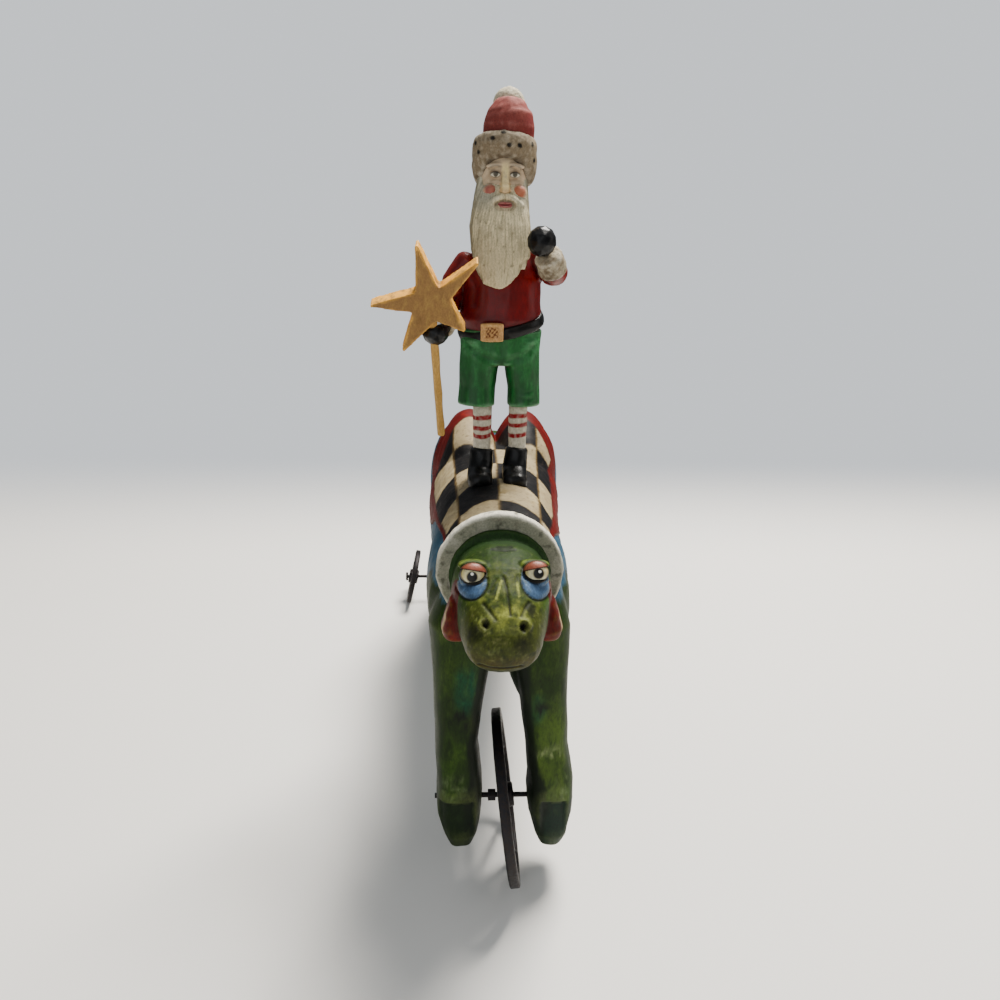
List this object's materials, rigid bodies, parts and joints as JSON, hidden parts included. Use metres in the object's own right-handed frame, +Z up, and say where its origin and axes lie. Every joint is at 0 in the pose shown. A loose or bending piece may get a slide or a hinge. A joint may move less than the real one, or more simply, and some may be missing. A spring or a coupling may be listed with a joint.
{
  "type": "carved santa on wheeled dinosaur",
  "caption": "Carved and painted wooden folk toy: a bearded figure with a star staff stands on the back of a dinosaur that rolls on three spoked iron wheels.",
  "frame": {"origin": "on the floor under the middle of the toy's box, on the rear wheels' midplane", "axes": "+X to the right of someone who faces the toy, +Y from the head to the tail, +Z up"},
  "size_m": [0.1432, 0.4193, 0.3814],
  "materials": {
    "painted_carving": "knife-carved wood, brushed with green and checkered paint, waxed",
    "painted_figure": "knife-carved wood, painted red, green, cream and black, satin varnish",
    "ochre_wood": "sawn wood, ochre paint rubbed back on its edges",
    "black_iron": "black iron, dull"
  },
  "bodies": {
    "root": {"dinosaur": "painted_carving", "santa": "painted_figure", "star": "ochre_wood", "staff": "ochre_wood", "front_axle": "black_iron", "front_axle_collar": "black_iron", "rear_axle": "black_iron"},
    "front_wheel": {"front_wheel": "black_iron"},
    "rear_wheel_left": {"rear_wheel_left": "black_iron"},
    "rear_wheel_right": {"rear_wheel_right": "black_iron"}
  },
  "joints": [
    {"name": "front_wheel_spin", "type": "hinge", "parent": "root", "child": "front_wheel", "pos_m": [0, -0.1421, 0.04275], "axis": [0.9914, 0, 0.1305], "continuous": true},
    {"name": "rear_wheel_left_spin", "type": "hinge", "parent": "root", "child": "rear_wheel_left", "pos_m": [-0.065, 0.1525, 0.02323], "axis": [0.9799, 0, -0.1994], "continuous": true},
    {"name": "rear_wheel_right_spin", "type": "hinge", "parent": "root", "child": "rear_wheel_right", "pos_m": [0.065, 0.1525, 0.02323], "axis": [0.9799, 0, 0.1994], "continuous": true}
  ]
}
